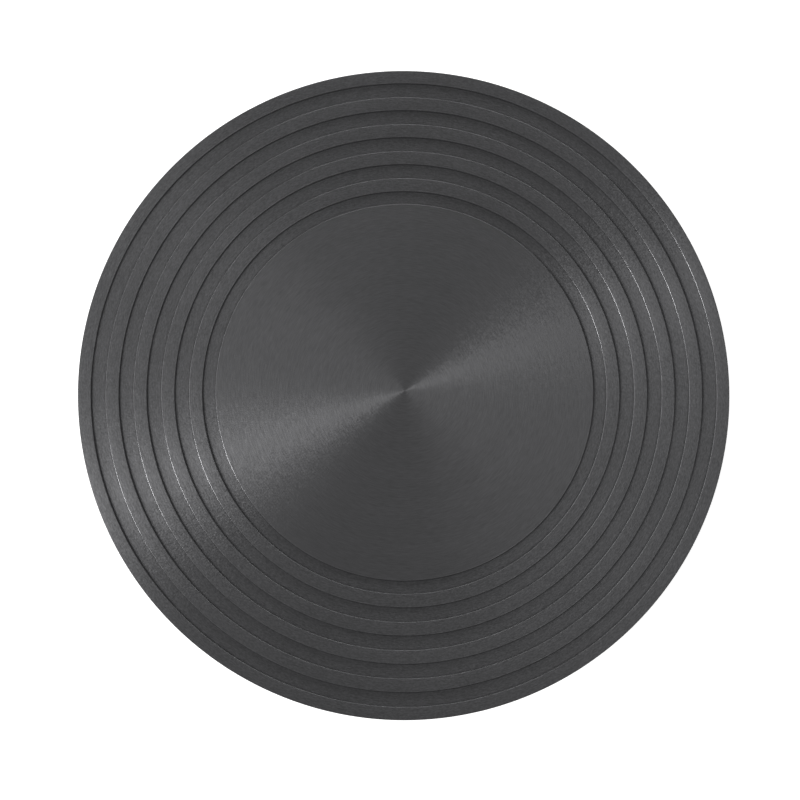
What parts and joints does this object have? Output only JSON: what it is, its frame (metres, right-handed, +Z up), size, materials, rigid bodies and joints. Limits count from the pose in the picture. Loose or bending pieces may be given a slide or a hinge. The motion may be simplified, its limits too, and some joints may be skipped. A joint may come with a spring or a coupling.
{
  "type": "banding wheel",
  "caption": "Hand-turned pottery banding wheel: a grooved round wheel head on a ball-bearing spindle, carried by a flared cast-iron pedestal on rubber feet.",
  "frame": {"origin": "on the bench, under the spindle's axis: the centre of the bounding box's bottom face", "axes": "+Z up, along the spindle, towards the work face. The object is round, so X and Y are set by the four rubber feet, which stand on the diagonals between X and Y"},
  "size_m": [0.28, 0.28, 0.13],
  "materials": {
    "dark_anodised_aluminium": "turned with fine concentric tool marks, then dark anodised, satin",
    "machined_steel": "turned, lightly oiled",
    "ground_steel": "ground",
    "black_oxide_steel": "black oxide, satin",
    "zinc_steel": "zinc plated, satin",
    "plated_steel": "nickel plated, semi-bright",
    "bearing_steel": "hardened and ground, bright",
    "ball_steel": "polished",
    "cage_steel": "pressed sheet, dull",
    "spring_steel": "dull",
    "painted_cast_iron": "sand cast, black textured powder coat",
    "felt": "pressed wool felt, oiled",
    "black_rubber": "moulded, matte"
  },
  "bodies": {
    "base": {"pedestal": "painted_cast_iron", "upper_outer_race": "bearing_steel", "upper_shields": "cage_steel", "lower_outer_race": "bearing_steel", "lower_shields": "cage_steel", "retaining_ring": "black_oxide_steel", "wave_spring": "spring_steel", "felt_seal": "felt", "bottom_plug": "zinc_steel", "rubber_feet": "black_rubber", "foot_washers": "zinc_steel", "foot_screws": "zinc_steel"},
    "turntable": {"wheel_head": "dark_anodised_aluminium", "hub_flange": "machined_steel", "head_screws": "black_oxide_steel", "spring_washers": "zinc_steel", "spindle": "ground_steel", "grub_screws": "black_oxide_steel", "dust_cover": "plated_steel", "upper_inner_race": "bearing_steel", "lower_inner_race": "bearing_steel", "tab_washer": "zinc_steel", "spindle_nut": "zinc_steel"},
    "upper_ball_set": {"upper_balls": "ball_steel", "upper_cage_top": "cage_steel", "upper_cage_bottom": "cage_steel", "upper_cage_rivets": "cage_steel"},
    "lower_ball_set": {"lower_balls": "ball_steel", "lower_cage_top": "cage_steel", "lower_cage_bottom": "cage_steel", "lower_cage_rivets": "cage_steel"}
  },
  "joints": [
    {"name": "wheel_spin", "type": "hinge", "parent": "base", "child": "turntable", "pos_m": [0, 0, 0.079], "axis": [0, 0, 1], "continuous": true},
    {"name": "upper_cage_orbit", "type": "hinge", "parent": "base", "child": "upper_ball_set", "pos_m": [0, 0, 0.079], "axis": [0, 0, 1], "continuous": true},
    {"name": "lower_cage_orbit", "type": "hinge", "parent": "base", "child": "lower_ball_set", "pos_m": [0, 0, 0.038], "axis": [0, 0, 1], "continuous": true}
  ],
  "couplings": [
    {"joint": "upper_cage_orbit", "follows": "wheel_spin", "ratio": 0.4064},
    {"joint": "lower_cage_orbit", "follows": "wheel_spin", "ratio": 0.3977}
  ]
}
